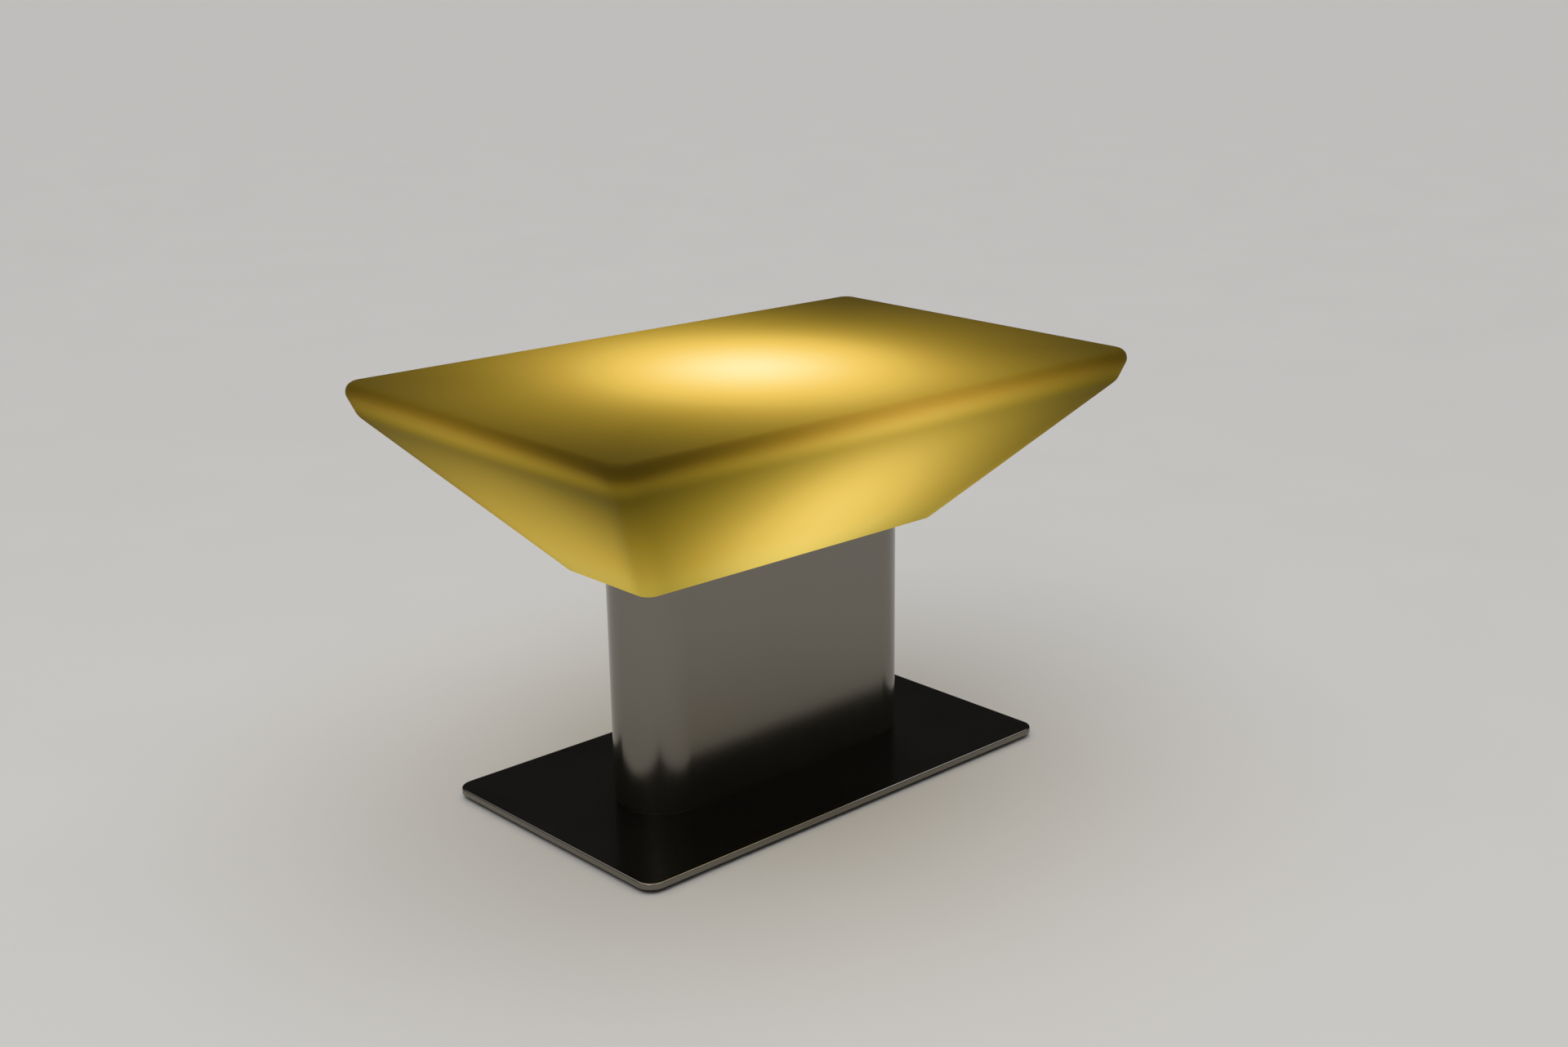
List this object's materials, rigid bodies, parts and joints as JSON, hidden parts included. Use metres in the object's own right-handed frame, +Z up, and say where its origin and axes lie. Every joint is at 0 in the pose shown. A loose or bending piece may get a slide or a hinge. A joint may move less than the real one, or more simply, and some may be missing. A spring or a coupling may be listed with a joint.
{
  "type": "light-up side table",
  "caption": "Side table whose tapered translucent top glows from inside, on a flat steel column with round ends and a rounded steel base plate; cordless.",
  "frame": {"origin": "on the floor under the middle of the table top", "axes": "+X along the table's long side, +Y towards the back with the switch and the charging socket, +Z up"},
  "size_m": [0.84, 0.54, 0.545],
  "materials": {
    "glowing_plastic": "translucent rotationally moulded polyethylene, satin, lit warm yellow from inside",
    "brushed_steel": "fine vertical brushed stainless",
    "plain_steel": "plain laser-cut steel",
    "zinc_steel": "bright zinc plated",
    "aluminium": "extruded, clear anodised",
    "black_rubber": "matt black rubber",
    "black_plastic": "black moulded, fine texture",
    "grey_plastic": "grey moulded",
    "grey_paint": "grey powder coat",
    "white_board": "white solder mask",
    "yellow_lens": "yellow phosphor under clear resin, lit",
    "opal_plastic": "opal diffuser",
    "battery_wrap": "plain blue shrink wrap",
    "green_lens": "small green lens"
  },
  "bodies": {
    "stand": {"shade_body": "glowing_plastic", "carrier_gasket": "black_rubber", "carrier_plate": "zinc_steel", "carrier_bolt_front_left": "zinc_steel", "carrier_bolt_front_right": "zinc_steel", "carrier_bolt_back_right": "zinc_steel", "carrier_bolt_back_left": "zinc_steel", "heat_sink": "aluminium", "heat_sink_screw_left": "zinc_steel", "heat_sink_screw_right": "zinc_steel", "lamp_board": "white_board", "light_source": "yellow_lens", "lamp_cover": "opal_plastic", "remote_receiver": "grey_plastic", "lead_grommet": "black_rubber", "column_shell": "brushed_steel", "column_head_flange": "plain_steel", "column_foot_flange_left": "plain_steel", "column_foot_flange_right": "plain_steel", "base_plate": "brushed_steel", "base_bolt_front_left": "zinc_steel", "base_bolt_front_right": "zinc_steel", "base_bolt_back_right": "zinc_steel", "base_bolt_back_left": "zinc_steel", "foot_front_left": "black_rubber", "foot_front_right": "black_rubber", "foot_back_right": "black_rubber", "foot_back_left": "black_rubber", "foot_screw_front_left": "zinc_steel", "foot_screw_front_right": "zinc_steel", "foot_screw_back_right": "zinc_steel", "foot_screw_back_left": "zinc_steel", "battery_cradle": "zinc_steel", "cradle_screw_left": "zinc_steel", "cradle_screw_right": "zinc_steel", "battery_pack": "battery_wrap", "battery_strap": "zinc_steel", "junction_box": "grey_paint", "service_plate": "black_plastic", "service_screw_left": "zinc_steel", "service_screw_right": "zinc_steel", "switch_housing": "black_plastic", "button_housing": "black_plastic", "button_spring": "zinc_steel", "socket_housing": "black_plastic", "cover_pin": "zinc_steel", "charging_indicator": "green_lens", "battery_lead": "black_rubber", "supply_lead": "black_rubber", "lamp_lead": "black_rubber", "socket_lead": "black_rubber", "switch_lead": "black_rubber", "button_lead": "black_rubber"},
    "rocker": {"rocker": "black_plastic"},
    "colour_button": {"colour_button": "grey_plastic"},
    "socket_cover": {"socket_cover": "black_rubber"}
  },
  "joints": [
    {"name": "rocker_tilt", "type": "hinge", "parent": "stand", "child": "rocker", "pos_m": [0.085, 0.0614, 0.066], "axis": [1, 0, 0], "range_deg": [-18, 0]},
    {"name": "button_press", "type": "slide", "parent": "stand", "child": "colour_button", "axis": [0, -1, 0], "range_m": [0, 0.0015], "stiffness_N_per_m": 300, "deforming": ["button_spring"]},
    {"name": "cover_swing", "type": "hinge", "parent": "stand", "child": "socket_cover", "pos_m": [0.047, 0.0669, 0.074], "axis": [1, 0, 0], "range_deg": [0, 120]}
  ]
}
